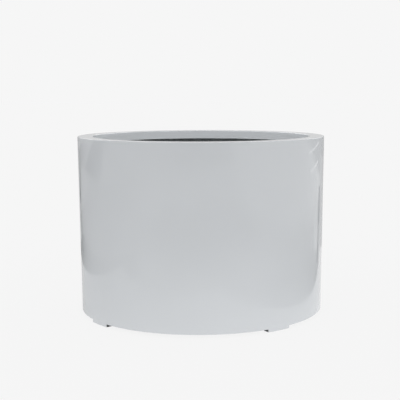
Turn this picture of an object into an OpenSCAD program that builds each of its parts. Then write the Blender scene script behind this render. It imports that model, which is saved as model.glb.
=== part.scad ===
// Round floor planter moulded in glass fibre: a gelcoated shell with a flat rim, a cored floor,
// four flush feet and four drains with plugs.
// Lengths are in millimetres. The origin is on the ground, on the planter's axis, and +Z is up.

/* [Shell] */
// Outside diameter of the wall, at the rim
planter_d = 1066.8; // [900:0.1:1250]
// Height of the rim's top above the ground
planter_h = 762; // [450:1:950]
// Lean of the wall off the vertical, in degrees: the drum narrows a little towards the ground
wall_draft = 0.6; // [0:0.1:1.5]
// Thickness of the laminate in the wall, the rim and the lip
shell_t = 4.8; // [3:0.1:6]
// Width of the flat rim, from the outside of the wall to the opening
rim_w = 63.5; // [50:0.5:90]
// Depth of the lip at the opening, measured from the rim's top
lip_drop = 38; // [36:1:60]
// Radius of the rim's outer edge
rim_edge_r = 1.5; // [0.5:0.1:2.5]
// Radius of the opening's upper edge
lip_edge_r = 3; // [1:0.5:4]

/* [Rim stiffener] */
// Thickness of the plywood core under the rim
rim_core_t = 18; // [12:1:20]
// Width of the joint between two segments of the core
rim_core_joint = 1; // [0.5:0.5:3]
// Thickness of the laminate that wraps the core
wrap_t = 2.5; // [1.5:0.5:3]
// Length of the wrap down the wall, below the core
wrap_wall_leg = 40; // [20:5:80]
// Bare strip left at the bottom of the lip, below the wrap
wrap_lip_margin = 3; // [1:1:4]
// Radius of the wrap's coves, under the core
wrap_cove_r = 8; // [4:1:9]

/* [Floor] */
// Height of the floor's underside above the wall's lower edge
floor_recess = 6; // [4:1:15]
// Thickness of the floor's laminate skin, above and below the core
floor_skin_t = 3; // [2:0.5:5]
// Thickness of the floor's plywood core
floor_core_t = 18; // [12:1:25]
// Reach of the corner band across the floor
band_floor_leg = 75; // [50:5:90]
// Reach of the corner band up the wall
band_wall_leg = 75; // [50:5:120]
// Thickness of each of the corner band's two plies
band_ply_t = 1.2; // [1:0.1:2]
// How far the lower ply shows past the edges of the upper one
band_step = 15; // [5:1:20]
// Radius of the cove where the floor meets the wall
cove_r = 25; // [15:1:40]

/* [Feet] */
// Height of the wall's lower edge above the ground
foot_h = 12.7; // [12:0.1:40]
// Width of a foot, along the outside of the wall
foot_w = 109; // [90:1:160]
// Depth of a foot block, from the wall towards the axis
foot_depth = 60; // [45:1:90]
// Bevel along the lower inner edge of a foot block
block_bevel = 2; // [1:0.5:4]
// Gap between the ground and the skirt in front of a foot
skirt_gap = 1; // [0.5:0.5:2]
// Thickness of the rubber pad
pad_t = 3; // [2:0.5:4]
// Inset of the pad from the edges of its block
pad_inset = 2; // [1:0.5:5]

/* [Foot fixings] */
// Distance between the two screws of a foot
foot_screw_spacing = 50; // [35:1:50]
// Diameter of a screw's shank
foot_screw_d = 6; // [5:0.5:7]
// Diameter of a screw's head
screw_head_d = 12; // [10:0.5:13]
// Height of a screw's head
screw_head_h = 4; // [3:0.5:5]
// Width of the socket in the head, across its flats
socket_flats = 4; // [3:0.5:5]
// Depth of the socket
socket_depth = 2; // [1:0.5:2.5]
// Thickness of core left above a screw's tip
screw_tip_cover = 4; // [2:1:6]
// Diameter of a washer
washer_d = 16; // [14:0.5:20]
// Thickness of a washer
washer_t = 1.2; // [1:0.1:2]
// Room left between a screw's head and the rubber pad
head_recess = 1; // [0.5:0.5:2]

/* [Drains] */
// Distance of each drain from the planter's axis
drain_offset = 300; // [200:5:310]
// Bore of a drain sleeve
drain_bore_d = 32; // [28:0.5:36]
// Thickness of a sleeve's wall
sleeve_wall = 3; // [2:0.5:4]
// Diameter of a sleeve's flange
drain_flange_d = 64; // [58:1:80]
// Thickness of a sleeve's flange
drain_flange_t = 3.5; // [2.5:0.5:6]
// Length of sleeve that shows below the nut
sleeve_tail = 1; // [0.5:0.5:2]
// Width of the ledge inside the sleeve that carries the screen
ledge_w = 3; // [2:0.5:4]
// Thickness of that ledge
ledge_t = 2; // [1:0.5:3]
// Thickness of the rubber gasket
gasket_t = 2; // [1:0.5:3]
// Width of the nut across its flats
nut_flats = 54; // [52:1:70]
// Thickness of the nut
nut_t = 5; // [4:0.5:6]
// Bevel that takes the nut's lower corners off
nut_bevel = 2; // [1:0.5:3]

/* [Screens] */
// Thickness of a screen
screen_t = 1.5; // [1:0.5:2]
// Diameter of the holes in a screen
screen_hole_d = 3.5; // [2:0.5:4]
// Distance between neighbouring holes
screen_pitch = 5.5; // [5:0.5:8]

/* [Plugs] */
// Diameter of a plug's cap
plug_cap_d = 46; // [44:1:54]
// Thickness of the cap
plug_cap_t = 4; // [3:0.5:6]
// Depth that the plug's stem reaches into the sleeve
plug_depth = 20; // [14:1:24]
// Number of sealing ribs round the stem
plug_ribs = 2; // [1:1:3]
// Height of a sealing rib
plug_rib = 1.2; // [0.8:0.1:2]
// Taper of the stem, taken off its radius over its whole length
plug_taper = 1.5; // [0.5:0.5:3]
// Diameter of the knob
knob_d = 24; // [20:1:30]
// Thickness of the knob's head
knob_t = 7; // [5:0.5:10]
// Height of the knob's neck
knob_neck_h = 8; // [5:1:14]
// Diameter of the knob's neck
knob_neck_d = 12; // [9:0.5:16]

/* [Fits] */
// Bond line between curved laminate faces
bond_gap = 0.3; // [0.2:0.05:0.5]
// Clearance between a plug and its sleeve
plug_fit = 0.3; // [0.2:0.05:0.6]
// Clearance of a sleeve in the floor, the gasket and the screen
sleeve_fit = 0.4; // [0.2:0.1:0.8]
// Clearance of a sleeve in its nut
thread_fit = 0.1; // [0.05:0.05:0.3]
// Clearance of a screw in its holes and its washer
screw_fit = 0.2; // [0.1:0.1:0.5]
// Clearance of a washer in the block's pocket
pocket_fit = 1; // [0.5:0.5:2]

/* [Hidden] */
// Four drains and four rim segments face the sides, and four feet face the corners
SIDES = ["right", "rear", "left", "front"];
CORNERS = ["rear_right", "rear_left", "front_left", "front_right"];
QUARTER = 90;

// Fineness of the large rings, and of what is a hand's width or less
$fn = 240;
SMALL_FN = 64;

// How far a cutter runs past the face that it cuts, and a filled corner into what it fills
over = 1;

// Radii of the shell, which the wall has at the rim's top
wall_r = planter_d / 2;
wall_in_r = wall_r - shell_t;
open_r = wall_r - rim_w;
lip_back_r = open_r + shell_t;

// How far the wall has drawn in at height z
function draft_in(z) = (planter_h - z) * tan(wall_draft);

// Radius of what is bonded inside the wall and reaches down to height z
function inner_r(z) = wall_in_r - draft_in(z) - bond_gap;

// Heights of the rim and of what hangs under it
rim_under_z = planter_h - shell_t;
rim_core_z = rim_under_z - rim_core_t;
lip_z = planter_h - lip_drop;

// Heights of the floor's layers
floor_z = foot_h + floor_recess;
floor_core_z = floor_z + floor_skin_t;
floor_top_skin_z = floor_core_z + floor_core_t;
floor_top_z = floor_top_skin_z + floor_skin_t;

// A foot's angle, and the radii of its block
foot_angle = 180 * foot_w / (PI * (wall_r - draft_in(foot_h)));
block_out_r = inner_r(pad_t);
block_in_r = block_out_r - foot_depth;
block_mid_r = (block_out_r + block_in_r) / 2;
pad_angle = foot_angle - 360 * pad_inset / (PI * block_in_r);

// Heights of a foot's fixings, from the rubber pad upwards
screw_head_z = pad_t + head_recess;
washer_z = screw_head_z + screw_head_h;
pocket_top_z = washer_z + washer_t;
screw_tip_z = floor_top_skin_z - screw_tip_cover;
screw_hole_r = foot_screw_d / 2 + screw_fit;

// Radii of a drain
drain_r = drain_bore_d / 2;
sleeve_r = drain_r + sleeve_wall;
drain_hole_r = sleeve_r + sleeve_fit;
flange_r = drain_flange_d / 2;
screen_open_r = drain_r - ledge_w;

// Heights of a drain
sleeve_z = floor_z - nut_t - sleeve_tail;
flange_z = floor_top_z + gasket_t;
flange_top_z = flange_z + drain_flange_t;
screen_z = sleeve_z + ledge_t;

// Heights and radii of a plug
plug_cap_z = flange_top_z + plug_fit;
plug_tip_z = plug_cap_z - plug_depth;
plug_top_z = plug_cap_z + plug_cap_t;
plug_rib_r = drain_r - plug_fit;
plug_stem_r = plug_rib_r - plug_rib;
plug_cap_r = plug_cap_d / 2;
knob_r = knob_d / 2;

// Finishes
GELCOAT = "#c5c9cb";
LAMINATE = "#8e9293";
PLYWOOD = "#b8925c";
BLOCK = "#2b2c2e";
RUBBER = "#202122";
DRAIN_PLASTIC = "#3a3c3e";
STEEL = "#a9acaf";

// What lies between a corner at the origin and the arc that rounds it off, below and left of it
// The corner's upright side leans out towards the top by an angle
module corner_piece(r, lean = 0) {
    reach = r + over;
    translate([-r * tan(45 + lean / 2), -r]) difference() {
        polygon([[0, 0], [reach, -reach * tan(lean)], [reach, reach], [0, reach]]);
        circle(r, $fn = SMALL_FN);
    }
}

// Section of a strip that lies against the wall, from the origin upwards
module wall_strip(t, h) {
    lean = h * tan(wall_draft);
    polygon([[-t, 0], [0, 0], [lean, h], [lean - t, h]]);
}

// Turns a profile through an angle about the planter's axis, centred on +X
module arc_sweep(angle) {
    rotate([0, 0, -angle / 2]) rotate_extrude(angle = angle) children();
}

// Places its children at side or corner i
module at_side(i) {
    rotate([0, 0, QUARTER * i]) children();
}

module at_corner(i) {
    rotate([0, 0, QUARTER * (i + 0.5)]) children();
}

module at_drain(i) {
    at_side(i) translate([drain_offset, 0, 0]) children();
}

module at_foot_screws(i) {
    at_corner(i) for (side = [-1, 1]) translate([block_mid_r, side * foot_screw_spacing / 2, 0]) children();
}

// Section through the shell: the wall down to the skirts, the flat rim and the hanging lip
module shell_section() {
    difference() {
        union() {
            translate([wall_r - draft_in(skirt_gap), skirt_gap]) wall_strip(shell_t, planter_h - skirt_gap);
            translate([open_r, rim_under_z]) square([wall_in_r - open_r, shell_t]);
            translate([open_r, lip_z]) square([shell_t, lip_drop]);
        }
        translate([wall_r, planter_h]) corner_piece(rim_edge_r, wall_draft);
        translate([open_r, planter_h]) mirror([1, 0]) corner_piece(lip_edge_r);
    }
}

// The moulding: what is cut away between the skirts leaves the four feet
module planter_shell() {
    cut_in_r = wall_in_r - draft_in(skirt_gap) - over;
    color(GELCOAT) difference() {
        rotate_extrude() shell_section();
        for (i = [0:3]) at_side(i) arc_sweep(QUARTER - foot_angle)
            translate([cut_in_r, skirt_gap - over]) square([wall_r - cut_in_r, foot_h - skirt_gap + over]);
    }
}

// One quarter of the core ring under the rim
module rim_core(i) {
    core_in_r = lip_back_r + bond_gap;
    joint_angle = 360 * rim_core_joint / (PI * 2 * core_in_r);
    color(PLYWOOD) at_side(i) arc_sweep(QUARTER - joint_angle)
        translate([core_in_r, rim_core_z]) square([inner_r(rim_core_z) - core_in_r, rim_core_t]);
}

// The wrap runs down the back of the lip, across the core and down the wall, with a cove in each corner
module rim_overwrap() {
    wrap_in_r = lip_back_r + bond_gap;
    wrap_out_r = inner_r(rim_core_z);
    web_z = rim_core_z - wrap_t;
    lip_leg = rim_core_z - lip_z - wrap_lip_margin;
    wall_leg_r = wrap_out_r - wrap_wall_leg * tan(wall_draft);
    color(LAMINATE) rotate_extrude() {
        translate([wrap_in_r, rim_core_z - lip_leg]) square([wrap_t, lip_leg]);
        translate([wrap_in_r, web_z]) square([wrap_out_r - wrap_in_r, wrap_t]);
        translate([wall_leg_r, rim_core_z - wrap_wall_leg]) wall_strip(wrap_t, wrap_wall_leg);
        translate([wrap_in_r + wrap_t, web_z]) mirror([1, 0]) corner_piece(wrap_cove_r);
        translate([wrap_out_r - wrap_t * (1 + tan(wall_draft)), web_z]) corner_piece(wrap_cove_r, wall_draft);
    }
}

// A disc that fills the wall, with a hole for each drain
module floor_disc(z, t) {
    difference() {
        translate([0, 0, z]) cylinder(r = inner_r(z), h = t);
        for (i = [0:3]) at_drain(i) translate([0, 0, z - over])
            cylinder(r = drain_hole_r, h = t + 2 * over, $fn = SMALL_FN);
    }
}

// The holes that the foot screws need in the floor, as far up as the screws reach
module screw_holes() {
    hole_z = floor_z - over;
    for (i = [0:3]) at_foot_screws(i) translate([0, 0, hole_z])
        cylinder(r = screw_hole_r, h = screw_tip_z + screw_fit - hole_z, $fn = SMALL_FN);
}

module floor_bottom_skin() {
    color(LAMINATE) difference() {
        floor_disc(floor_z, floor_skin_t);
        screw_holes();
    }
}

module floor_core() {
    color(PLYWOOD) difference() {
        floor_disc(floor_core_z, floor_core_t);
        screw_holes();
    }
}

module floor_top_skin() {
    color(LAMINATE) floor_disc(floor_top_skin_z, floor_skin_t);
}

// Section through the corner band, with the corner at the origin, the wall on the right and the floor below
// The lower ply is the full width, and the upper one stops short of its edges
module corner_band_section() {
    both_t = 2 * band_ply_t;
    translate([-band_floor_leg, 0]) square([band_floor_leg, band_ply_t]);
    wall_strip(band_ply_t, band_wall_leg);
    translate([band_step - band_floor_leg, 0]) square([band_floor_leg - band_step, both_t]);
    wall_strip(both_t, band_wall_leg - band_step);
    translate([-both_t * (1 - tan(wall_draft)), both_t]) mirror([0, 1]) corner_piece(cove_r, -wall_draft);
}

module corner_band() {
    color(LAMINATE) rotate_extrude() translate([inner_r(floor_top_z), floor_top_z]) corner_band_section();
}

// A foot block fills the space between its rubber pad and the floor, with a pocket for each screw's head
module foot_block(i) {
    pocket_z = pad_t - over;
    color(BLOCK) difference() {
        at_corner(i) arc_sweep(foot_angle) polygon([
            [block_in_r + block_bevel, pad_t], [block_out_r, pad_t], [block_out_r, floor_z],
            [block_in_r, floor_z], [block_in_r, pad_t + block_bevel]
        ]);
        at_foot_screws(i) {
            translate([0, 0, pocket_z])
                cylinder(r = washer_d / 2 + pocket_fit, h = pocket_top_z - pocket_z, $fn = SMALL_FN);
            cylinder(r = screw_hole_r, h = floor_z + over, $fn = SMALL_FN);
        }
    }
}

module foot_pad(i) {
    color(RUBBER) at_corner(i) arc_sweep(pad_angle)
        translate([block_in_r + pad_inset, 0]) square([foot_depth - 2 * pad_inset, pad_t]);
}

module foot_washers() {
    color(STEEL) for (i = [0:3]) at_foot_screws(i) translate([0, 0, washer_z]) linear_extrude(washer_t)
        difference() {
            circle(d = washer_d, $fn = SMALL_FN);
            circle(screw_hole_r, $fn = SMALL_FN);
        }
}

// A screw stands on its head, which has a rounded edge and a six-sided socket
module foot_screw() {
    head_r = screw_head_d / 2;
    shank_r = foot_screw_d / 2;
    difference() {
        rotate_extrude($fn = SMALL_FN) {
            difference() {
                translate([0, screw_head_z]) square([head_r, screw_head_h]);
                translate([head_r, screw_head_z]) mirror([0, 1]) corner_piece(screw_head_h / 2);
            }
            translate([0, screw_head_z]) square([shank_r, screw_tip_z - shank_r - screw_head_z]);
            translate([0, screw_tip_z - shank_r]) polygon([[0, 0], [shank_r, 0], [0, shank_r]]);
        }
        translate([0, 0, screw_head_z - over])
            cylinder(r = socket_flats / sqrt(3), h = socket_depth + over, $fn = 6);
    }
}

module foot_screws() {
    color(STEEL) for (i = [0:3]) at_foot_screws(i) foot_screw();
}

// A sleeve: its tube through the floor, its flange above the gasket and a ledge at its lower end
module drain_sleeve(i) {
    color(DRAIN_PLASTIC) at_drain(i) rotate_extrude($fn = SMALL_FN) difference() {
        union() {
            translate([drain_r, sleeve_z]) square([sleeve_wall, flange_top_z - sleeve_z]);
            translate([drain_r, flange_z]) square([flange_r - drain_r, drain_flange_t]);
            translate([screen_open_r, sleeve_z]) square([ledge_w + sleeve_wall, ledge_t]);
        }
        translate([flange_r, flange_top_z]) corner_piece(drain_flange_t / 2);
    }
}

module drain_gasket(i) {
    color(RUBBER) at_drain(i) translate([0, 0, floor_top_z]) linear_extrude(gasket_t) difference() {
        circle(flange_r, $fn = SMALL_FN);
        circle(drain_hole_r, $fn = SMALL_FN);
    }
}

// A six-sided nut whose lower corners are turned off
module drain_nut(i) {
    nut_in_r = sleeve_r + thread_fit;
    nut_out_r = nut_flats / sqrt(3);
    turned_r = nut_out_r - nut_bevel;
    color(DRAIN_PLASTIC) at_drain(i) translate([0, 0, floor_z - nut_t]) intersection() {
        linear_extrude(nut_t) circle(nut_out_r, $fn = 6);
        rotate_extrude($fn = SMALL_FN) polygon([
            [nut_in_r, -over], [turned_r - over, -over], [nut_out_r + over, nut_bevel + over],
            [nut_out_r + over, nut_t + over], [nut_in_r, nut_t + over]
        ]);
    }
}

// The holes lie on a triangular grid, wherever they fit inside the ledge
module drain_screen(i) {
    reach = ceil(screen_open_r / screen_pitch) + 1;
    hole_r = screen_hole_d / 2;
    color(STEEL) at_drain(i) translate([0, 0, screen_z]) linear_extrude(screen_t) difference() {
        circle(drain_r - sleeve_fit, $fn = SMALL_FN);
        for (row = [-reach:reach], col = [-reach:reach]) {
            p = screen_pitch * [col + row / 2, row * sin(60)];
            if (norm(p) + hole_r < screen_open_r) translate(p) circle(hole_r, $fn = 24);
        }
    }
}

// A plug: a tapered stem with two sealing ribs, a cap that sits on the flange and a knob to pull it by
module drain_plug(i) {
    knob_z = plug_top_z + knob_neck_h;
    color(RUBBER) at_drain(i) rotate_extrude($fn = SMALL_FN) {
        polygon([
            [0, plug_tip_z], [plug_stem_r - plug_taper, plug_tip_z],
            [plug_stem_r, plug_cap_z + over], [0, plug_cap_z + over]
        ]);
        for (k = [1:plug_ribs]) translate([0, plug_tip_z + k * plug_depth / (plug_ribs + 1)]) {
            translate([0, -plug_rib]) square([plug_rib_r - plug_rib, 2 * plug_rib]);
            translate([plug_rib_r - plug_rib, 0]) circle(plug_rib, $fn = SMALL_FN);
        }
        difference() {
            translate([0, plug_cap_z]) square([plug_cap_r, plug_cap_t]);
            translate([plug_cap_r, plug_top_z]) corner_piece(plug_cap_t / 2);
        }
        translate([0, plug_top_z - over]) square([knob_neck_d / 2, knob_neck_h + 2 * over]);
        translate([0, knob_z]) square([knob_r - knob_t / 2, knob_t]);
        translate([knob_r - knob_t / 2, knob_z + knob_t / 2]) circle(knob_t / 2, $fn = SMALL_FN);
    }
}

planter_shell();
rim_overwrap();
floor_bottom_skin();
floor_core();
floor_top_skin();
corner_band();
foot_washers();
foot_screws();
for (i = [0:3]) {
    rim_core(i);
    foot_block(i);
    foot_pad(i);
    drain_sleeve(i);
    drain_gasket(i);
    drain_nut(i);
    drain_screen(i);
    drain_plug(i);
}
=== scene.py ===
"""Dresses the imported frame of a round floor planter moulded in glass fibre, and sets up its studio.

The drum and the corner band are modelled here round the frame's sizes. Every other node of the
frame is shown as it is, with the finish of what it is made of. Lengths are in metres, and +Z is up.
"""

import logging
import math
from collections.abc import Callable, Iterable
from dataclasses import dataclass, field
from enum import Enum

import bmesh
import bpy
from mathutils import Matrix, Vector, noise


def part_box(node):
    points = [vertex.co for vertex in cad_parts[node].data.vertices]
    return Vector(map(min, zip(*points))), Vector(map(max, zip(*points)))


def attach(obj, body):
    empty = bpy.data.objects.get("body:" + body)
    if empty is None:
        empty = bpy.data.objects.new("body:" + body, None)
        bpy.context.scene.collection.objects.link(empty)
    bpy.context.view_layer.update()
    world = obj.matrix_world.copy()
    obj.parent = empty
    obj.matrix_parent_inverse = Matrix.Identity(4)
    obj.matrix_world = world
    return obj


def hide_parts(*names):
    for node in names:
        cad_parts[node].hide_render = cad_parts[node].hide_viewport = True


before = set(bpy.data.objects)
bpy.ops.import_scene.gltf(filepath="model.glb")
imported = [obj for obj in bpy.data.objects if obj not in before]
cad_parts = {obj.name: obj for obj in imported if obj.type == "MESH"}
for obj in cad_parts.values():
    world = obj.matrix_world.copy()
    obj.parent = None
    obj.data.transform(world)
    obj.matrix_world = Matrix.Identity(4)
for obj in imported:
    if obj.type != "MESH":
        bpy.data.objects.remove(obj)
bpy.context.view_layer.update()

LOG = logging.getLogger("planter")
MM = 0.001
UNROLLED = "Unrolled"

# Short names for the hints. A node's inputs are given by name or number, each as a value, as an
# output that is linked to it, or as a node whose first output is
Tree = bpy.types.NodeTree
Node = bpy.types.Node
Socket = bpy.types.NodeSocket
Inputs = dict[str | int, object]

# The wall leans in towards the ground, which lets the moulding out of its mould
WALL_DRAFT = math.radians(0.6)

# Points of a section this close are one point, and a bend of less than this angle is none
WELD = 0.01 * MM
STRAIGHT = math.radians(0.1)

# Faces that meet at less than this angle look like one smooth surface
SMOOTH = math.radians(40)

# A wave texture of scale 1 has one band in this length
WAVE_BAND = math.pi / 10

# A Mix node's sockets by number, because its forms share their names: those for colours, and then
# those for plain numbers
MIX_FACTOR, MIX_A, MIX_B, MIX_RESULT = 0, 6, 7, 2
BLEND_FACTOR, BLEND_A, BLEND_B = 0, 2, 3


class Facing(Enum):
    """A way that some of the planter's pieces face, with its angle in degrees."""

    @property
    def label(self) -> str:
        """The word that a node's name ends with."""
        return self.name.lower()


class Side(Facing):
    """The four sides that the drains and the rim segments face."""

    RIGHT = 0
    REAR = 90
    LEFT = 180
    FRONT = 270


class Corner(Facing):
    """The four corners that the feet face."""

    REAR_RIGHT = 45
    REAR_LEFT = 135
    FRONT_LEFT = 225
    FRONT_RIGHT = 315


class Slot(Enum):
    """The record's material slots that new pieces are handed over with; nothing reads them."""

    GELCOAT = "gelcoat"
    LAMINATE = "laminate"


class Element(Enum):
    """What a selection in edit mode is made of."""

    VERTEX = "VERT"
    EDGE = "EDGE"
    FACE = "FACE"


def linear(hex_colour: str) -> tuple[float, float, float, float]:
    """Turns an sRGB colour to the linear one that a shader takes.

    Args:
        hex_colour: the colour as "#rrggbb".

    Returns:
        Red, green, blue and an alpha of 1.
    """
    parts = [int(hex_colour[i : i + 2], 16) / 255 for i in (1, 3, 5)]
    # The curve of sRGB: a straight line near black, and a power above it
    return (*(c / 12.92 if c <= 0.04045 else ((c + 0.055) / 1.055) ** 2.4 for c in parts), 1.0)


def scale_for(size_mm: float) -> float:
    """Returns the scale at which a pattern repeats once in so many millimetres."""
    return 1 / (size_mm * MM)


def add_node(tree: Tree, kind: str, inputs: Inputs | None = None, **settings: object) -> Node:
    """Adds one node to a shader.

    Args:
        tree: the shader's node tree.
        kind: the node's type, such as ShaderNodeTexNoise.
        inputs: its inputs that aren't left as they are.
        **settings: the node's own properties.

    Returns:
        The new node.
    """
    node = tree.nodes.new(kind)
    for name, value in settings.items():
        setattr(node, name, value)
    for key, value in (inputs or {}).items():
        if isinstance(value, Node):
            value = value.outputs[0]
        if isinstance(value, Socket):
            tree.links.new(value, node.inputs[key])
        else:
            node.inputs[key].default_value = value
    return node


@dataclass(frozen=True)
class Finish:
    """A surface finish. Each kind of finish fills in the shader of its material."""

    name: str

    def material(self) -> bpy.types.Material:
        """Returns the finish's material, which is made the first time that it is asked for."""
        made = bpy.data.materials.get(self.name)
        if made is None:
            made = bpy.data.materials.new(self.name)
            made.use_nodes = True
            tree = made.node_tree
            tree.nodes.clear()
            shader = add_node(tree, "ShaderNodeBsdfPrincipled", self.shade(tree))
            add_node(tree, "ShaderNodeOutputMaterial", {"Surface": shader})
        return made

    def shade(self, tree: Tree) -> Inputs:
        """Adds the nodes that the finish's shader is fed by.

        Args:
            tree: the material's empty node tree.

        Returns:
            The shader's inputs.
        """
        raise NotImplementedError


@dataclass(frozen=True)
class Gelcoat(Finish):
    """Polyester gelcoat, sprayed into a waxed mould and left as it came out.

    It gives a light, slightly cool grey with a mirror gloss. The laminate behind it shrinks as it
    cures, which bends reflections near the drum's edges into slow waves.
    """

    base: str = "#cacdd0"
    cloud: str = "#c6c9cc"
    roughness: float = 0.014
    ior: float = 1.5
    cloud_mm: float = 240.0
    ripple_mm: float = 130.0
    ripple_height_mm: float = 0.16
    # The stiffener is bonded behind the wall's top, where the waves are the strongest
    rim_z_mm: float = 762.0
    rim_reach_mm: float = 140.0
    rim_gain: float = 3.0
    peel_mm: float = 14.0
    peel_height_mm: float = 0.004

    def shade(self, tree: Tree) -> Inputs:
        """Adds the gelcoat's nodes and returns its shader's inputs."""
        place = add_node(tree, "ShaderNodeTexCoord").outputs["Object"]
        cloud = add_node(
            tree,
            "ShaderNodeTexNoise",
            {"Vector": place, "Scale": scale_for(self.cloud_mm), "Detail": 2.0},
        )
        colour = add_node(
            tree,
            "ShaderNodeMix",
            {MIX_FACTOR: cloud, MIX_A: linear(self.base), MIX_B: linear(self.cloud)},
            data_type="RGBA",
        )
        ripple = add_node(
            tree,
            "ShaderNodeTexNoise",
            {"Vector": place, "Scale": scale_for(self.ripple_mm), "Detail": 1.0},
        )
        # A noise goes up and down about the middle of its range
        centred = add_node(tree, "ShaderNodeMath", {0: ripple, 1: 0.5}, operation="SUBTRACT")
        up = add_node(tree, "ShaderNodeSeparateXYZ", {"Vector": place}).outputs["Z"]
        gain = add_node(
            tree,
            "ShaderNodeMapRange",
            {
                "Value": up,
                "From Min": (self.rim_z_mm - self.rim_reach_mm) * MM,
                "From Max": self.rim_z_mm * MM,
                "To Min": 1.0,
                "To Max": self.rim_gain,
            },
            interpolation_type="SMOOTHSTEP",
        )
        swell = add_node(tree, "ShaderNodeMath", {0: centred, 1: gain}, operation="MULTIPLY")
        peel = add_node(
            tree,
            "ShaderNodeTexNoise",
            {"Vector": place, "Scale": scale_for(self.peel_mm), "Detail": 1.0},
        )
        waves = add_node(
            tree, "ShaderNodeBump", {"Height": swell, "Distance": self.ripple_height_mm * MM}
        )
        skin = add_node(
            tree,
            "ShaderNodeBump",
            {"Height": peel, "Distance": self.peel_height_mm * MM, "Normal": waves},
        )
        return {
            "Base Color": colour.outputs[MIX_RESULT],
            "Roughness": self.roughness,
            "IOR": self.ior,
            "Normal": skin,
        }


@dataclass(frozen=True)
class ChoppedLaminate(Finish):
    """Chopped strand mat laid by hand in polyester, brushed over with a grey flow coat.

    It gives the inside a satin grey, with strands lying every way and slow thick and thin patches.
    """

    base: str = "#a9acae"
    strand: str = "#bdc0c1"
    hollow: str = "#919597"
    roughness: float = 0.38
    ior: float = 1.52
    strand_length_mm: float = 50.0
    # A strand is about 1.5 mm wide; it is drawn wider, so that it shows from a few metres
    strand_width_mm: float = 6.0
    strand_height_mm: float = 0.5
    strand_turns_deg: tuple[float, ...] = (12.0, 71.0, 128.0)
    strand_bend: float = 0.4
    # The levels of their noise at which strands begin to stand up and stand whole
    strand_levels: tuple[float, float] = (0.5, 0.68)
    patch_mm: float = 110.0
    patch_height_mm: float = 1.2

    def strands(self, tree: Tree, place: Socket, turn: float) -> Node:
        """Adds the strands that lie one way.

        Args:
            tree: the material's node tree.
            place: the place on the unrolled surface, in metres.
            turn: the direction of the strands, in degrees.

        Returns:
            How far a strand stands up, from 0 to 1.
        """
        turned = add_node(
            tree,
            "ShaderNodeMapping",
            {
                "Vector": place,
                "Rotation": (0.0, 0.0, math.radians(turn)),
                "Scale": (scale_for(self.strand_length_mm), scale_for(self.strand_width_mm), 1.0),
            },
        )
        cells = add_node(
            tree,
            "ShaderNodeTexNoise",
            {"Vector": turned, "Scale": 1.0, "Detail": 1.0, "Distortion": self.strand_bend},
            noise_dimensions="2D",
        )
        begins, whole = self.strand_levels
        return add_node(
            tree,
            "ShaderNodeMapRange",
            {"Value": cells, "From Min": begins, "From Max": whole},
            interpolation_type="SMOOTHSTEP",
        )

    def shade(self, tree: Tree) -> Inputs:
        """Adds the laminate's nodes and returns its shader's inputs."""
        place = add_node(tree, "ShaderNodeUVMap", uv_map=UNROLLED).outputs["UV"]
        raised = 0.0
        for turn in self.strand_turns_deg:
            both = {0: raised, 1: self.strands(tree, place, turn)}
            raised = add_node(tree, "ShaderNodeMath", both, operation="MAXIMUM")
        patch = add_node(
            tree,
            "ShaderNodeTexNoise",
            {"Vector": place, "Scale": scale_for(self.patch_mm), "Detail": 3.0},
            noise_dimensions="2D",
        )
        ground = add_node(
            tree,
            "ShaderNodeMix",
            {MIX_FACTOR: patch, MIX_A: linear(self.hollow), MIX_B: linear(self.base)},
            data_type="RGBA",
        )
        colour = add_node(
            tree,
            "ShaderNodeMix",
            {MIX_FACTOR: raised, MIX_A: ground.outputs[MIX_RESULT], MIX_B: linear(self.strand)},
            data_type="RGBA",
        )
        thick = add_node(
            tree, "ShaderNodeBump", {"Height": patch, "Distance": self.patch_height_mm * MM}
        )
        fibres = add_node(
            tree,
            "ShaderNodeBump",
            {"Height": raised, "Distance": self.strand_height_mm * MM, "Normal": thick},
        )
        return {
            "Base Color": colour.outputs[MIX_RESULT],
            "Roughness": self.roughness,
            "IOR": self.ior,
            "Normal": fibres,
        }


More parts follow.
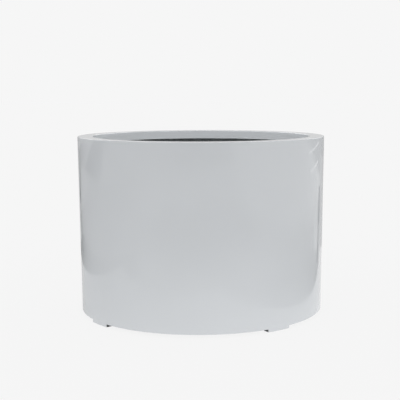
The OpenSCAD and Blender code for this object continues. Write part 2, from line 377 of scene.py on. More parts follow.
@dataclass(frozen=True)
class WovenLaminate(Finish):
    """Woven roving wetted out with polyester, with its tows printing through a thin grey flow coat.

    It gives the floor's skins and the rim's wrap a soft plain weave in two close greys.
    """

    base: str = "#8c9092"
    tow: str = "#babdbe"
    roughness: float = 0.42
    ior: float = 1.52
    # A tow of the cloth is about 4 mm wide; it is drawn wider, so that it shows from a few metres
    tow_mm: float = 13.0
    tow_height_mm: float = 0.7
    tow_waver: float = 0.25
    patch_mm: float = 160.0

    def tows(self, tree: Tree, place: Socket, direction: str) -> Socket:
        """Adds the round backs of the tows that lie side by side along one axis.

        Args:
            tree: the material's node tree.
            place: the place on the piece.
            direction: the axis across the tows, X or Y.

        Returns:
            The height across each tow, from 0 to 1.
        """
        wave = add_node(
            tree,
            "ShaderNodeTexWave",
            {
                "Vector": place,
                "Scale": WAVE_BAND * scale_for(self.tow_mm),
                "Distortion": self.tow_waver,
                "Detail": 0.0,
            },
            bands_direction=direction,
        )
        return wave.outputs["Fac"]

    def shade(self, tree: Tree) -> Inputs:
        """Adds the cloth's nodes and returns its shader's inputs."""
        place = add_node(tree, "ShaderNodeTexCoord").outputs["Object"]
        over = add_node(
            tree, "ShaderNodeTexChecker", {"Vector": place, "Scale": scale_for(self.tow_mm)}
        )
        height = add_node(
            tree,
            "ShaderNodeMix",
            {
                BLEND_FACTOR: over.outputs["Fac"],
                BLEND_A: self.tows(tree, place, "X"),
                BLEND_B: self.tows(tree, place, "Y"),
            },
            data_type="FLOAT",
        )
        patch = add_node(
            tree,
            "ShaderNodeTexNoise",
            {"Vector": place, "Scale": scale_for(self.patch_mm), "Detail": 3.0},
        )
        share = add_node(tree, "ShaderNodeMath", {0: height, 1: patch}, operation="MULTIPLY")
        colour = add_node(
            tree,
            "ShaderNodeMix",
            {MIX_FACTOR: share, MIX_A: linear(self.base), MIX_B: linear(self.tow)},
            data_type="RGBA",
        )
        print_through = add_node(
            tree, "ShaderNodeBump", {"Height": height, "Distance": self.tow_height_mm * MM}
        )
        return {
            "Base Color": colour.outputs[MIX_RESULT],
            "Roughness": self.roughness,
            "IOR": self.ior,
            "Normal": print_through,
        }


@dataclass(frozen=True)
class Plywood(Finish):
    """Marine plywood, rotary cut and glued in crossed veneers.

    It gives warm brown layers at an edge, with a fine straight grain over them.
    """

    light: str = "#c19a63"
    dark: str = "#8f6a3d"
    roughness: float = 0.6
    veneer_mm: float = 2.0
    grain_length_mm: float = 30.0
    grain_width_mm: float = 3.0
    grain_height_mm: float = 0.2

    def shade(self, tree: Tree) -> Inputs:
        """Adds the plywood's nodes and returns its shader's inputs."""
        place = add_node(tree, "ShaderNodeTexCoord").outputs["Object"]
        layers = add_node(
            tree,
            "ShaderNodeTexWave",
            {"Vector": place, "Scale": WAVE_BAND * scale_for(self.veneer_mm), "Detail": 0.0},
            bands_direction="Z",
        )
        stretched = add_node(
            tree,
            "ShaderNodeMapping",
            {
                "Vector": place,
                "Scale": (scale_for(self.grain_length_mm), scale_for(self.grain_width_mm), 1.0),
            },
        )
        grain = add_node(
            tree, "ShaderNodeTexNoise", {"Vector": stretched, "Scale": 1.0, "Detail": 4.0}
        )
        share = add_node(
            tree, "ShaderNodeMath", {0: layers.outputs["Fac"], 1: grain}, operation="MULTIPLY"
        )
        colour = add_node(
            tree,
            "ShaderNodeMix",
            {MIX_FACTOR: share, MIX_A: linear(self.light), MIX_B: linear(self.dark)},
            data_type="RGBA",
        )
        fibre = add_node(
            tree, "ShaderNodeBump", {"Height": grain, "Distance": self.grain_height_mm * MM}
        )
        return {
            "Base Color": colour.outputs[MIX_RESULT],
            "Roughness": self.roughness,
            "Normal": fibre,
        }


@dataclass(frozen=True)
class Grained(Finish):
    """A dark moulded polymer, such as rubber or glass-filled plastic, straight from its tool.

    It gives a nearly black or dark grey satin with a fine even grain and slightly uneven gloss.
    """

    base: str
    bloom: str
    roughness: float
    gloss_spread: float = 0.08
    ior: float = 1.5
    grain_mm: float = 1.5
    grain_height_mm: float = 0.06
    bloom_mm: float = 18.0

    def shade(self, tree: Tree) -> Inputs:
        """Adds the polymer's nodes and returns its shader's inputs."""
        place = add_node(tree, "ShaderNodeTexCoord").outputs["Object"]
        bloom = add_node(
            tree,
            "ShaderNodeTexNoise",
            {"Vector": place, "Scale": scale_for(self.bloom_mm), "Detail": 3.0},
        )
        colour = add_node(
            tree,
            "ShaderNodeMix",
            {MIX_FACTOR: bloom, MIX_A: linear(self.base), MIX_B: linear(self.bloom)},
            data_type="RGBA",
        )
        gloss = add_node(
            tree,
            "ShaderNodeMapRange",
            {
                "Value": bloom,
                "To Min": self.roughness - self.gloss_spread,
                "To Max": self.roughness + self.gloss_spread,
            },
        )
        grain = add_node(
            tree,
            "ShaderNodeTexNoise",
            {"Vector": place, "Scale": scale_for(self.grain_mm), "Detail": 2.0},
        )
        tooth = add_node(
            tree, "ShaderNodeBump", {"Height": grain, "Distance": self.grain_height_mm * MM}
        )
        return {
            "Base Color": colour.outputs[MIX_RESULT],
            "Roughness": gloss,
            "IOR": self.ior,
            "Normal": tooth,
        }


@dataclass(frozen=True)
class Steel(Finish):
    """Stainless steel, rolled, punched or turned, and left bare.

    It gives a mid grey metal with a soft directional brightness and fine scratches.
    """

    base: str = "#b4b6b8"
    roughness: float = 0.3
    gloss_spread: float = 0.1
    scratch_mm: float = 0.8
    # How wide a scratch is for its length
    scratch_slimness: float = 0.06

    def shade(self, tree: Tree) -> Inputs:
        """Adds the steel's nodes and returns its shader's inputs."""
        place = add_node(tree, "ShaderNodeTexCoord").outputs["Object"]
        fine = scale_for(self.scratch_mm)
        stretched = add_node(
            tree,
            "ShaderNodeMapping",
            {"Vector": place, "Scale": (self.scratch_slimness * fine, fine, 1.0)},
        )
        scratch = add_node(
            tree, "ShaderNodeTexNoise", {"Vector": stretched, "Scale": 1.0, "Detail": 2.0}
        )
        gloss = add_node(
            tree,
            "ShaderNodeMapRange",
            {
                "Value": scratch,
                "To Min": self.roughness - self.gloss_spread,
                "To Max": self.roughness + self.gloss_spread,
            },
        )
        return {"Base Color": linear(self.base), "Metallic": 1.0, "Roughness": gloss}


GELCOAT = Gelcoat("gelcoat_gloss_grey")
INSIDE = ChoppedLaminate("laminate_flow_coated")
TRIMMED = ChoppedLaminate(
    "laminate_trimmed_edge", base="#b3b4ac", strand="#c3c4bb", hollow="#9b9c93"
)
WOVEN = WovenLaminate("laminate_woven_floor")
PLYWOOD = Plywood("plywood_marine")
BLOCK = Grained("block_moulded_black", base="#26272a", bloom="#313235", roughness=0.6, grain_mm=3.0)
RUBBER = Grained("rubber_black", base="#1c1d1e", bloom="#262728", roughness=0.62)
DRAIN_PLASTIC = Grained("drain_plastic_dark_grey", base="#595c5e", bloom="#636668", roughness=0.42)
STEEL = Steel("steel_stainless")


def pick(element: Element, test: Callable[[Vector], bool]) -> int:
    """Selects, in the mesh that is being edited, what passes a test by its place, and nothing else.

    Args:
        element: whether vertices, edges or faces are picked.
        test: takes the middle of one of them and says whether it is picked.

    Returns:
        How many were picked.
    """
    bpy.ops.mesh.select_mode(type=element.value)
    bpy.ops.mesh.select_all(action="DESELECT")
    mesh = bpy.context.edit_object.data
    work = bmesh.from_edit_mesh(mesh)
    if element is Element.VERTEX:
        found = [v for v in work.verts if test(v.co)]
    elif element is Element.EDGE:
        found = [e for e in work.edges if test((e.verts[0].co + e.verts[1].co) / 2)]
    else:
        found = [f for f in work.faces if test(f.calc_center_median())]
    for part in found:
        part.select_set(True)
    work.select_flush_mode()
    bmesh.update_edit_mesh(mesh)
    return len(found)


def near(value: float, target: float, room: float = 0.02 * MM) -> bool:
    """Says whether two lengths are the same, within a little room."""
    return abs(value - target) < room


def apply_modifier(piece: bpy.types.Object, kind: str, **settings: object) -> None:
    """Adds one modifier to a piece and applies it.

    Args:
        piece: the piece, in object mode.
        kind: the modifier's type, such as BEVEL.
        **settings: the modifier's own properties.
    """
    modifier = piece.modifiers.new(kind.lower(), kind)
    for name, value in settings.items():
        setattr(modifier, name, value)
    bpy.ops.object.modifier_apply(modifier=modifier.name)


@dataclass
class SpunSection:
    """A flat section beside the planter's axis, drawn in the XZ plane and then spun round it."""

    name: str
    piece: bpy.types.Object = field(init=False)

    def __post_init__(self) -> None:
        """Makes the empty piece and starts to edit it."""
        bpy.ops.object.select_all(action="DESELECT")
        mesh = bpy.data.meshes.new(self.name)
        self.piece = bpy.data.objects.new(self.name, mesh)
        bpy.context.scene.collection.objects.link(self.piece)
        bpy.context.view_layer.objects.active = self.piece
        self.piece.select_set(True)
        bpy.ops.object.mode_set(mode="EDIT")

    def plate(self, low: tuple[float, float], high: tuple[float, float]) -> None:
        """Draws an upright rectangle.

        Args:
            low: its corner nearest the axis and the ground, as radius and height.
            high: the opposite corner.
        """
        bpy.ops.mesh.select_all(action="DESELECT")
        middle = ((low[0] + high[0]) / 2, 0.0, (low[1] + high[1]) / 2)
        size = (high[0] - low[0], 1, high[1] - low[1])
        bpy.ops.mesh.primitive_plane_add(size=1, location=middle, rotation=(math.pi / 2, 0, 0))
        bpy.ops.transform.resize(value=size, center_override=middle)

    def cut_level(self, height: float) -> None:
        """Cuts every face of the section at a height."""
        bpy.ops.mesh.select_all(action="SELECT")
        bpy.ops.mesh.bisect(plane_co=(0, 0, height), plane_no=(0, 0, 1))

    def cut_radius(self, radius: float) -> None:
        """Cuts every face of the section at a radius."""
        bpy.ops.mesh.select_all(action="SELECT")
        bpy.ops.mesh.bisect(plane_co=(radius, 0, 0), plane_no=(1, 0, 0))

    def choose(self, element: Element, middle: tuple[float, float]) -> None:
        """Selects one edge or point of the section.

        Args:
            element: whether it is an edge or a point.
            middle: its middle, as radius and height.
        """
        found = pick(element, lambda p: near(p.x, middle[0]) and near(p.z, middle[1]))
        if found != 1:
            raise RuntimeError(f"{self.name}: {found} of kind {element.name} at {middle}")

    def grow(self, middle: tuple[float, float], by: tuple[float, float]) -> None:
        """Draws one edge of the section out.

        Args:
            middle: the edge's middle, as radius and height.
            by: how far it is drawn, as radius and height.
        """
        self.choose(Element.EDGE, middle)
        bpy.ops.mesh.extrude_region_move(TRANSFORM_OT_translate={"value": (by[0], 0, by[1])})

    def shift(self, height: float, by: float) -> None:
        """Moves what the section has at a height away from the axis.

        Args:
            height: the height.
            by: how far it is moved; what is negative moves towards the axis.
        """
        pick(Element.VERTEX, lambda p: near(p.z, height))
        bpy.ops.transform.translate(value=(by, 0, 0))

    def melt(self) -> None:
        """Makes one face of the whole section, and leaves no point along its straight sides."""
        bpy.ops.mesh.select_all(action="SELECT")
        bpy.ops.mesh.remove_doubles(threshold=WELD)
        bpy.ops.mesh.select_all(action="SELECT")
        bpy.ops.mesh.dissolve_limited(angle_limit=STRAIGHT)

    def round_off(self, corner: tuple[float, float], radius: float, steps: int) -> None:
        """Rounds one corner of the section.

        Args:
            corner: the corner, as radius and height.
            radius: the round's own radius.
            steps: how many straight pieces it is made of.
        """
        self.choose(Element.VERTEX, corner)
        bpy.ops.mesh.bevel(offset=radius, segments=steps, profile=0.5, affect="VERTICES")

    def trace(self) -> None:
        """Leaves only the section's outline."""
        bpy.ops.mesh.select_mode(type="FACE")
        bpy.ops.mesh.select_all(action="SELECT")
        bpy.ops.mesh.delete(type="ONLY_FACE")

    def divide(self, test: Callable[[Vector], bool], cuts: int) -> None:
        """Cuts the outline's edges that pass a test into equal lengths.

        Args:
            test: takes the middle of an edge and says whether it is cut.
            cuts: how many cuts are made in it.
        """
        if not pick(Element.EDGE, test):
            raise RuntimeError(f"{self.name}: no edge to divide")
        bpy.ops.mesh.subdivide(number_cuts=cuts)

    def spin(self, steps: int) -> bpy.types.Object:
        """Spins the outline once round the axis, closes the seam and turns the faces outwards.

        Args:
            steps: how many steps make a full turn.

        Returns:
            The piece, still in edit mode.
        """
        bpy.ops.mesh.select_mode(type="EDGE")
        bpy.ops.mesh.select_all(action="SELECT")
        bpy.ops.mesh.spin(steps=steps, angle=math.tau, center=(0, 0, 0), axis=(0, 0, 1))
        bpy.ops.mesh.select_all(action="SELECT")
        bpy.ops.mesh.remove_doubles(threshold=WELD)
        bpy.ops.mesh.select_all(action="SELECT")
        bpy.ops.mesh.normals_make_consistent(inside=False)
        return self.piece


def unroll(piece: bpy.types.Object, radius: float) -> None:
    """Gives a spun piece a UV map in metres.

    The map runs round the piece one way and along its section the other way.

    Args:
        piece: the piece, in object mode.
        radius: the radius at which the way round is true.
    """
    mesh = piece.data
    layer = mesh.uv_layers.new(name=UNROLLED)
    for face in mesh.polygons:
        middle = math.atan2(face.center.y, face.center.x)
        for corner, vertex in zip(face.loop_indices, face.vertices, strict=True):
            x, y, z = mesh.vertices[vertex].co
            # A face at the seam keeps all its corners on one side of it
            off = (math.atan2(y, x) - middle + math.pi) % math.tau - math.pi
            layer.data[corner].uv = ((middle + off) * radius, z - math.hypot(x, y))


def colour_faces(
    piece: bpy.types.Object, finishes: Iterable[Finish], choose: Callable[[Vector, Vector], int]
) -> None:
    """Gives each face of a piece one of its finishes.

    Args:
        piece: the piece, in object mode.
        finishes: the piece's finishes, in the order of its material slots.
        choose: takes a face's middle and normal and returns the number of its finish.
    """
    for finish in finishes:
        piece.data.materials.append(finish.material())
    numbers = [choose(face.center, face.normal) for face in piece.data.polygons]
    piece.data.polygons.foreach_set("material_index", numbers)


def hand_over(piece: bpy.types.Object, body: str, slot: Slot, *nodes: str) -> None:
    """Sets a finished piece on its body, in the place of the nodes that it stands for.

    Args:
        piece: the finished piece.
        body: the body that it rides on.
        slot: the record's slot for the piece; it is not used.
        *nodes: the nodes that it replaces.
    """
    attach(piece, body)
    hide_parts(*nodes)
    faces = len(piece.data.polygons)
    LOG.info("%s: %d faces, in the place of %s", piece.name, faces, ", ".join(nodes))


def dress(finish: Finish, nodes: Iterable[str]) -> None:
    """Gives nodes of the frame their finish.

    Args:
        finish: the finish.
        nodes: the nodes' names.
    """
    for name in nodes:
        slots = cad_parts[name].data.materials
        slots.clear()
        slots.append(finish.material())
        LOG.info("%s: %s", name, finish.name)


@dataclass
class Drum:
    """The moulding: wall, flat rim, hanging lip and the four skirts that hide the feet."""

    wall_r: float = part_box("planter_shell")[1].x
    top_z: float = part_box("planter_shell")[1].z
    skirt_z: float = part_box("planter_shell")[0].z
    foot_top_z: float = 12.7 * MM
    thickness: float = 4.8 * MM
    rim_width: float = 63.5 * MM
    lip_drop: float = 38.0 * MM
    rim_edge_r: float = 1.5 * MM
    rim_edge_steps: int = 4
    lip_edge_r: float = 3.0 * MM
    lip_edge_steps: int = 6
    skirt_width: float = 109.0 * MM
    trim_r: float = 0.6 * MM
    trim_steps: int = 2
    # An edge is trimmed where its faces meet at more than this
    trim_angle_deg: float = 50.0
    steps_round: int = 480
    wall_cuts: int = 36
    rim_cuts: int = 5
    # A face looks outwards, inwards or down where that part of its normal is more than this
    toward: float = 0.5
    # The rim's top goes on over its rounded edges until they lean down by more than this
    lean: float = 0.1

    def section(self) -> bpy.types.Object:
        """Draws and spins the section of the wall, the rim and the lip, and returns the piece."""
        wall_in = self.wall_r - self.thickness
        opening = self.wall_r - self.rim_width
        rim_middle = self.top_z - self.thickness / 2
        rim_centre = (opening + wall_in) / 2
        height = self.top_z - self.foot_top_z
        drawn = SpunSection("drum")
        drawn.plate((wall_in, self.foot_top_z), (self.wall_r, self.top_z))
        drawn.cut_level(self.top_z - self.thickness)
        drawn.grow((wall_in, rim_middle), (self.thickness * 2 - self.rim_width, 0))
        drawn.grow((opening + self.thickness, rim_middle), (-self.thickness, 0))
        drawn.grow(
            (opening + self.thickness / 2, self.top_z - self.thickness),
            (0, self.thickness - self.lip_drop),
        )
        drawn.melt()
        drawn.shift(self.foot_top_z, -height * math.tan(WALL_DRAFT))
        drawn.round_off((self.wall_r, self.top_z), self.rim_edge_r, self.rim_edge_steps)
        drawn.round_off((opening, self.top_z), self.lip_edge_r, self.lip_edge_steps)
        drawn.trace()
        wall_centre = self.foot_top_z + height / 2
        drawn.divide(
            lambda p: p.x > rim_centre and abs(p.z - wall_centre) < height / 4, self.wall_cuts
        )
        drawn.divide(lambda p: abs(p.x - rim_centre) < self.rim_width / 4, self.rim_cuts)
        return drawn.spin(self.steps_round)

    def skirts(self) -> None:
        """Draws the lower edge down in front of the four feet."""
        low_r = self.wall_r - (self.top_z - self.foot_top_z) * math.tan(WALL_DRAFT)
        half = self.skirt_width / (2 * low_r)
        # Each plane through the axis cuts at an end of two skirts, which are opposite each other
        angles = [math.radians(c.value) + side * half for c in Corner for side in (-1, 1)]
        for angle in angles[: len(angles) // 2]:
            bpy.ops.mesh.select_all(action="SELECT")
            across = (-math.sin(angle), math.cos(angle), 0)
            bpy.ops.mesh.bisect(plane_co=(0, 0, 0), plane_no=across)

        def in_front_of_a_foot(p: Vector) -> bool:
            """Says whether a face of the lower edge lies in front of a foot."""
            turn = math.atan2(p.y, p.x)
            ways = [turn - math.radians(c.value) for c in Corner]
            off = min(abs((way + math.pi) % math.tau - math.pi) for way in ways)
            return near(p.z, self.foot_top_z) and off < half

        pick(Element.FACE, in_front_of_a_foot)
        drop = self.foot_top_z - self.skirt_z
        bpy.ops.mesh.extrude_region_move(TRANSFORM_OT_translate={"value": (0, 0, -drop)})
        shrink = 1 - drop * math.tan(WALL_DRAFT) / low_r
        bpy.ops.transform.resize(value=(shrink, shrink, 1), center_override=(0, 0, self.skirt_z))
        bpy.ops.mesh.select_all(action="SELECT")
        bpy.ops.mesh.normals_make_consistent(inside=False)

    def finish_number(self, middle: Vector, normal: Vector) -> int:
        """Says which finish a face of the drum has.

        Args:
            middle: the face's middle.
            normal: its normal.

        Returns:
            0 for gelcoat, 1 for the inside and 2 for a trimmed edge.
        """
        radius = math.hypot(middle.x, middle.y)
        outward = (normal.x * middle.x + normal.y * middle.y) / radius
        outside = outward > self.toward and radius > self.wall_r - self.rim_width / 2
        on_top = middle.z > self.top_z - self.lip_edge_r and normal.z > -self.lean
        on_lip = outward < -self.toward and radius < self.wall_r - self.rim_width + self.trim_r
        if outside or on_top or on_lip:
            return 0
        cut = normal.z < -self.toward and middle.z < self.foot_top_z + MM
        return 2 if cut else 1

    def build(self) -> None:
        """Models the drum, dresses it and sets it in the place of its node."""
        piece = self.section()
        self.skirts()
        bpy.ops.object.mode_set(mode="OBJECT")
        apply_modifier(
            piece,
            "BEVEL",
            width=self.trim_r,
            segments=self.trim_steps,
            limit_method="ANGLE",
            angle_limit=math.radians(self.trim_angle_deg),
        )
        bpy.ops.object.shade_smooth_by_angle(angle=SMOOTH)
        apply_modifier(piece, "WEIGHTED_NORMAL", keep_sharp=True)
        unroll(piece, self.wall_r)
        colour_faces(piece, (GELCOAT, INSIDE, TRIMMED), self.finish_number)
        hand_over(piece, "planter", Slot.GELCOAT, "planter_shell")


@dataclass
class CornerBand:
    """Two plies of laminate, the upper one narrower, that go from floor to wall over a cove."""

    floor_z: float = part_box("corner_band")[0].z
    top_z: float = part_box("corner_band")[1].z
    top_r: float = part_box("corner_band")[1].x
    ply: float = 1.2 * MM
    step: float = 15.0 * MM
    cove_r: float = 25.0 * MM
    cove_steps: int = 12
    steps_round: int = 720
    wander: float = 3.0 * MM
    wander_length: float = 45.0 * MM

    @property
    def reach(self) -> float:
        """How far the wider ply goes, up the wall and in over the floor."""
        return self.top_z - self.floor_z

    def section(self) -> bpy.types.Object:
        """Draws and spins the section of both plies with their cove, and returns the piece."""
        r = self.top_r - self.reach * math.tan(WALL_DRAFT)
        z = self.floor_z
        both = 2 * self.ply
        upper = self.reach - self.step
        drawn = SpunSection("corner_laminate")
        drawn.plate((r - self.reach, z), (r, z + self.ply))
        for inset in (upper, both, self.ply):
            drawn.cut_radius(r - inset)
        drawn.grow((r - (upper + both) / 2, z + self.ply), (0, self.ply))
        drawn.grow((r - 1.5 * self.ply, z + self.ply), (0, upper - self.ply))
        drawn.grow((r - self.ply / 2, z + self.ply), (0, self.reach - self.ply))
        for level in (both, upper):
            drawn.cut_level(z + level)
        drawn.melt()
        drawn.shift(z + upper, upper * math.tan(WALL_DRAFT))
        drawn.shift(z + self.reach, self.reach * math.tan(WALL_DRAFT))
        drawn.round_off((r - both, z + both), self.cove_r, self.cove_steps)
        drawn.trace()
        return drawn.spin(self.steps_round)

    def fray(self, piece: bpy.types.Object) -> None:
        """Lets the four edges of the plies wander, as those of cloth laid by hand do."""
        upper = self.reach - self.step
        for vertex in piece.data.vertices:
            up = vertex.co.z - self.floor_z
            radius = math.hypot(vertex.co.x, vertex.co.y)
            inward = self.top_r - self.reach * math.tan(WALL_DRAFT) - radius
            wave = noise.noise(Vector((vertex.co.x, vertex.co.y, 0)) / self.wander_length)
            if near(up, self.reach) or near(up, upper):
                vertex.co.z += self.wander * (wave - 1)
            elif near(inward, self.reach) or near(inward, upper):
                vertex.co.xy *= 1 + self.wander * (wave + 1) / radius

    def build(self) -> None:
        """Models the band, dresses it and sets it in the place of its node."""
        piece = self.section()
        bpy.ops.object.mode_set(mode="OBJECT")
        self.fray(piece)
        bpy.ops.object.shade_smooth_by_angle(angle=SMOOTH)
        unroll(piece, self.top_r)
        piece.data.materials.append(INSIDE.material())
        hand_over(piece, "planter", Slot.LAMINATE, "corner_band")


@dataclass
class Floor:
    """The cored floor: two woven skins and the plywood between them."""

    def build(self) -> None:
        """Dresses the floor's layers."""
        dress(WOVEN, ("floor_top_skin", "floor_bottom_skin"))
        dress(PLYWOOD, ("floor_core",))


@dataclass
class RimStiffener:
    """The four plywood segments under the rim and the laminate that wraps them."""

    def build(self) -> None:
        """Dresses the stiffener's segments and their wrap."""
        dress(PLYWOOD, (f"rim_core_{side.label}" for side in Side))
        dress(WOVEN, ("rim_overwrap",))


@dataclass
class Feet:
    """The four feet: a moulded block, its rubber pad, two washers and two screws each."""

    def build(self) -> None:
        """Dresses the feet."""
        dress(BLOCK, (f"foot_block_{corner.label}" for corner in Corner))
        dress(RUBBER, (f"foot_pad_{corner.label}" for corner in Corner))
        dress(STEEL, ("foot_washers", "foot_screws"))


@dataclass
class Drain:
    """One drain: its sleeve, gasket, nut, screen and the plug that lifts out."""

    side: Side

    def build(self) -> None:
        """Dresses the drain."""
        end = self.side.label
        dress(DRAIN_PLASTIC, (f"drain_sleeve_{end}", f"drain_nut_{end}"))
        dress(RUBBER, (f"drain_gasket_{end}", f"drain_plug_{end}"))
        dress(STEEL, (f"drain_screen_{end}",))


@dataclass(frozen=True)
class PhotoCamera:
    """The camera, placed from its bearing on the planter's axis.

    The photograph is a crop from the left part of a wider frame, for which the shift stands.
    """

    bearing_deg: float = 8.87
    distance: float = 3.9698
    height: float = 0.9605
    aim_deg: float = -1.8256
    down_deg: float = 6.937
    roll_deg: float = -0.0644
    lens_mm: float = 81.72
    shift: float = -0.0758
    sensor_mm: float = 36.0

    def build(self) -> None:
        """Adds the camera and makes it the scene's."""
        data = bpy.data.cameras.new("photo_camera")
        data.lens = self.lens_mm
        data.sensor_width = self.sensor_mm
        data.shift_x = self.shift
        camera = bpy.data.objects.new("photo_camera", data)
        bearing = math.radians(self.bearing_deg)
        place = Vector((math.sin(bearing), -math.cos(bearing), 0)) * self.distance
        place.z = self.height
        turn = Matrix.Rotation(math.radians(self.bearing_deg + self.aim_deg), 4, "Z")
        tilt = Matrix.Rotation(math.radians(90 - self.down_deg), 4, "X")
        roll = Matrix.Rotation(math.radians(self.roll_deg), 4, "Z")
        camera.matrix_world = Matrix.Translation(place) @ turn @ tilt @ roll
        bpy.context.scene.collection.objects.link(camera)
        bpy.context.scene.camera = camera


def ground_sheet(
    name: str, size: float, height: float = 0.0, turn_deg: float = 0.0
) -> bpy.types.Object:
    """Lays a square sheet round the axis, as a part of the stage.

    Args:
        name: the sheet's name.
        size: the length of its sides.
        height: how high it lies.
        turn_deg: how far it is turned round the axis.

    Returns:
        The sheet, whose material has an empty node tree.
    """
    bpy.ops.object.select_all(action="DESELECT")
    bpy.ops.mesh.primitive_plane_add(
        size=size, location=(0, 0, height), rotation=(0, 0, math.radians(turn_deg))
    )
    sheet = bpy.context.active_object
    sheet.name = f"studio_{name}"
    made = bpy.data.materials.new(f"stage_{name}")
    made.use_nodes = True
    made.node_tree.nodes.clear()
    sheet.data.materials.append(made)
    return sheet


def show_from_above(sheet: bpy.types.Object, surface: Node) -> None:
    """Covers a sheet's upper side, and leaves it clear from below, to show the planter's underside.

    Args:
        sheet: the sheet.
        surface: the shader of its upper side.
    """
    tree = sheet.active_material.node_tree
    clear = add_node(tree, "ShaderNodeBsdfTransparent")
    side = add_node(tree, "ShaderNodeNewGeometry").outputs["Backfacing"]
    both = add_node(tree, "ShaderNodeMixShader", {0: side, 1: surface, 2: clear})
    add_node(tree, "ShaderNodeOutputMaterial", {"Surface": both})


@dataclass(frozen=True)
class Patch:
    """A soft-edged patch of the mat, whose tone may rise evenly from its left to its right side."""

    name: str
    centre: tuple[float, float]
    size: tuple[float, float]
    tone: float
    softness: float
    turn_deg: float = 0.0
    rise: float = 0.0

    def lay(self, tree: Tree, place: Socket, under: Node | float) -> Node:
        """Adds the patch over what has been laid already.

        Args:
            tree: the mat's node tree.
            place: the place on the mat, in metres.
            under: the brightness without the patch.

        Returns:
            The brightness with the patch.
        """
        own = add_node(
            tree,
            "ShaderNodeMapping",
            {
                "Vector": place,
                "Location": (*self.centre, 0.0),
                "Rotation": (0.0, 0.0, math.radians(self.turn_deg)),
                "Scale": (*self.size, 1.0),
            },
            vector_type="TEXTURE",
            label=self.name,
        )
        across = add_node(tree, "ShaderNodeSeparateXYZ", {"Vector": own})
        # In its own frame the patch reaches this far to each side of its centre
        half = 0.5
        edges = []
        for axis in (0, 1):
            off = add_node(tree, "ShaderNodeMath", {0: across.outputs[axis]}, operation="ABSOLUTE")
            ramp = {
                "Value": off,
                "From Min": half,
                "From Max": half - self.softness / self.size[axis],
            }
            edge = add_node(tree, "ShaderNodeMapRange", ramp, interpolation_type="SMOOTHSTEP")
            edges.append(edge)
        cover = add_node(tree, "ShaderNodeMath", {0: edges[0], 1: edges[1]}, operation="MULTIPLY")
        tone = add_node(
            tree,
            "ShaderNodeMapRange",
            {
                "Value": across.outputs["X"],
                "From Min": -half,
                "From Max": half,
                "To Min": self.tone,
                "To Max": self.tone + self.rise,
            },
        )
        laid = {BLEND_FACTOR: cover, BLEND_A: under, BLEND_B: tone}
        return add_node(tree, "ShaderNodeMix", laid, data_type="FLOAT")


@dataclass(frozen=True)
class Mat:
    """A mat of paler and darker patches, which lights the planter and is mirrored in it.

    The camera looks through it.
    """

    size: float = 80.0
    height: float = 1.0 * MM
    ground: float = 0.472
    turn_deg: float = PhotoCamera.bearing_deg
    patches: tuple[Patch, ...] = (
        Patch("right_far", (8.0, -2.0), (12.0, 15.0), 0.932, 1.5),
        Patch("front_far", (0.3, -9.5), (9.0, 7.0), 0.216, 1.5),
        Patch("front_middle", (0.0, -2.7), (5.0, 2.6), 0.151, 0.6),
        Patch("left_middle", (-3.4, 0.3), (4.4, 5.5), 0.311, 0.6),
        Patch("rear_left_far", (-6.5, 7.5), (5.0, 5.0), 0.288, 1.0),
        Patch("left_far", (-10.5, 3.0), (11.0, 4.5), 0.0, 0.8),
        Patch("left_strip", (-1.45, 0.3), (0.64, 2.8), 0.109, 0.03),
        Patch("rear_left", (-1.3, 4.5), (1.2, 5.5), 0.541, 0.3, 12.0),
        Patch("rear_right", (2.4, 4.57), (2.4, 8.0), 0.599, 0.15, -34.8),
        Patch("right_middle", (2.35, 1.55), (0.8, 2.2), 0.8, 0.2, -45.0),
        Patch("right_far_line", (2.725, 2.9), (0.4, 2.55), 0.0, 0.12, -34.6),
        Patch("right_line", (1.725, 1.45), (0.15, 1.83), 0.0, 0.05, -35.0),
        Patch("right_thin_line", (2.0, 0.98), (0.09, 1.1), 0.1, 0.03, -49.0),
        Patch("right_far_streak", (8.4, 6.2), (0.5, 5.5), 1.79, 0.2),
        Patch("right_streak", (5.8, 4.3), (0.3, 2.8), 2.0, 0.12),
        Patch("left_far_line", (-3.75, 6.3), (0.7, 6.85), 0.0, 0.2, 28.8),
        Patch("left_line", (-1.75, 2.425), (0.25, 2.78), 0.0, 0.08, 23.3),
        Patch("left_edge", (-1.21, 0.721), (0.25, 2.7), 0.155, 0.015, -20.3),
        Patch("right_strip", (0.9, -0.1), (1.6, 1.9), 0.284, 0.4, -20.3),
        Patch("near", (-0.13, 0.322), (2.053, 2.871), 0.405, 0.015, -20.3, rise=0.535),
        Patch("near_left", (-0.792, 0.566), (0.643, 2.871), 0.634, 0.015, -20.3),
    )

    def build(self) -> None:
        """Lays the mat on the floor."""
        mat = ground_sheet("mat", self.size, self.height, self.turn_deg)
        mat.visible_camera = False
        tree = mat.active_material.node_tree
        place = add_node(tree, "ShaderNodeTexCoord").outputs["Object"]
        tone = self.ground
        for patch in self.patches:
            tone = patch.lay(tree, place, tone)
        glow = add_node(tree, "ShaderNodeEmission", {"Strength": tone})
        show_from_above(mat, glow)


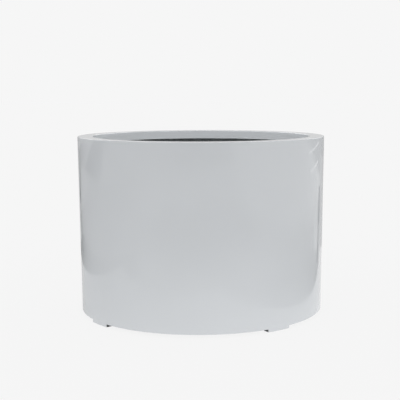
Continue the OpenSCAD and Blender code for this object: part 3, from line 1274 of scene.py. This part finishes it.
@dataclass(frozen=True)
class Studio:
    """A pale floor that runs out to a backdrop of the same tone, under a wide soft light."""

    paper: float = 0.922
    paper_albedo: float = 0.05
    floor_size: float = 120.0
    horizon: float = 0.66
    # Each band above the horizon: the sines of the heights between which it sets in, and its tone
    bands: tuple[tuple[float, float, float], ...] = ((0.18, 0.26, 2.1), (0.6, 0.8, 0.35))
    # What the bands give a level surface, where 1 is what an even sky of tone 1 gives
    level_light: float = 1.15

    def floor(self) -> None:
        """Adds the floor, which mostly glows, so that the planter's shadow on it stays faint."""
        floor = ground_sheet("paper", self.floor_size)
        tree = floor.active_material.node_tree
        tone = [self.paper_albedo] * 3 + [1]
        paper = add_node(tree, "ShaderNodeBsdfDiffuse", {"Color": tone})
        glow = self.paper - self.paper_albedo * self.level_light
        light = add_node(tree, "ShaderNodeEmission", {"Strength": glow})
        both = add_node(tree, "ShaderNodeAddShader", {0: paper, 1: light})
        show_from_above(floor, both)

    def backdrop(self) -> None:
        """Sets the world, which lights from above and shows the camera the floor's own tone."""
        world = bpy.data.worlds.new("studio")
        world.use_nodes = True
        tree = world.node_tree
        tree.nodes.clear()
        way = add_node(tree, "ShaderNodeTexCoord").outputs["Generated"]
        up = add_node(tree, "ShaderNodeSeparateXYZ", {"Vector": way}).outputs["Z"]
        tone = self.horizon
        for low, high, band in self.bands:
            share = add_node(
                tree,
                "ShaderNodeMapRange",
                {"Value": up, "From Min": low, "From Max": high},
                interpolation_type="SMOOTHSTEP",
            )
            mixed = {BLEND_FACTOR: share, BLEND_A: tone, BLEND_B: band}
            tone = add_node(tree, "ShaderNodeMix", mixed, data_type="FLOAT")
        white = linear("#ffffff")
        seen = add_node(tree, "ShaderNodeBackground", {"Color": white, "Strength": self.paper})
        lit = add_node(tree, "ShaderNodeBackground", {"Color": white, "Strength": tone})
        path = add_node(tree, "ShaderNodeLightPath")
        both = add_node(
            tree, "ShaderNodeMixShader", {0: path.outputs["Is Camera Ray"], 1: lit, 2: seen}
        )
        add_node(tree, "ShaderNodeOutputWorld", {"Surface": both})
        bpy.context.scene.world = world

    def build(self) -> None:
        """Sets up the stage."""
        bpy.context.scene.view_settings.view_transform = "Standard"
        self.floor()
        self.backdrop()
        mat = Mat()
        mat.build()
        LOG.info("studio: a mat of %d patches", len(mat.patches))


def main() -> None:
    """Builds the camera, the planter's parts and the studio."""
    logging.basicConfig(level=logging.INFO, format="%(message)s")
    PhotoCamera().build()
    Drum().build()
    CornerBand().build()
    Floor().build()
    RimStiffener().build()
    Feet().build()
    for side in Side:
        Drain(side).build()
    Studio().build()


if __name__ == "__main__":
    main()
